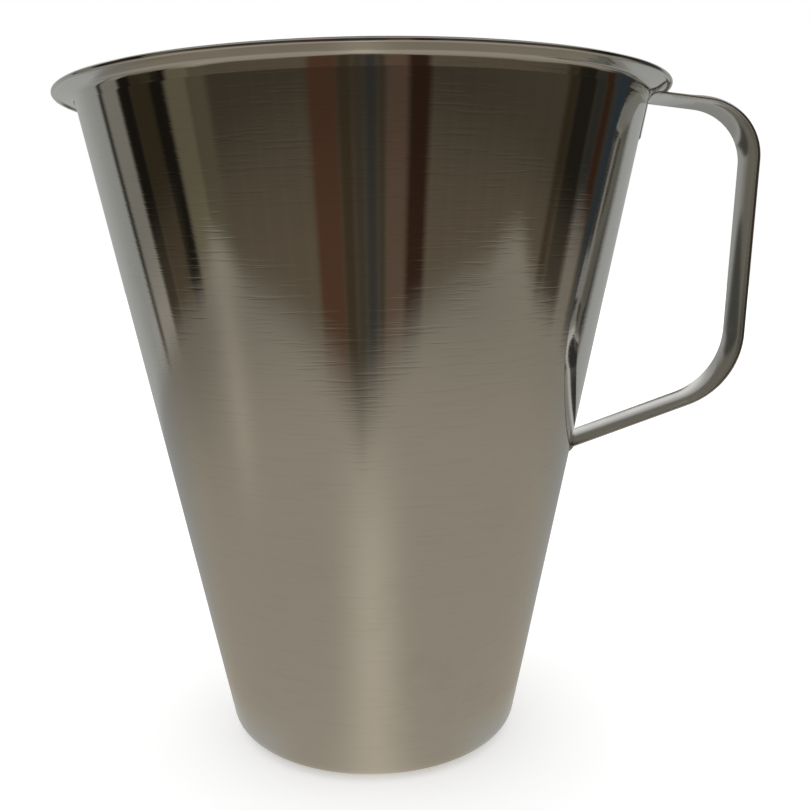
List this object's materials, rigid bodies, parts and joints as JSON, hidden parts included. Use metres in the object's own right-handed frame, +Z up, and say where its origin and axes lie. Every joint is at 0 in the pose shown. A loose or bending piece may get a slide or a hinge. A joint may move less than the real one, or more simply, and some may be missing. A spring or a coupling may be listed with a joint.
{
  "type": "measuring jug",
  "caption": "Conical sheet-steel measuring jug with a flared rim, a welded strap handle and level marks on the inside.",
  "frame": {"origin": "centre of the base on the table, on the axis of the conical body", "axes": "+Z up along the axis of the body, +X from the axis towards the handle"},
  "size_m": [0.1992, 0.174, 0.19],
  "materials": {
    "body_steel": "fine brushed around the axis",
    "strap_steel": "polished along the strap",
    "weld_steel": "as welded, satin"
  },
  "bodies": {
    "root": {"jug_body": "body_steel", "handle_strap": "strap_steel", "upper_weld": "weld_steel", "lower_weld": "weld_steel"}
  },
  "joints": []
}
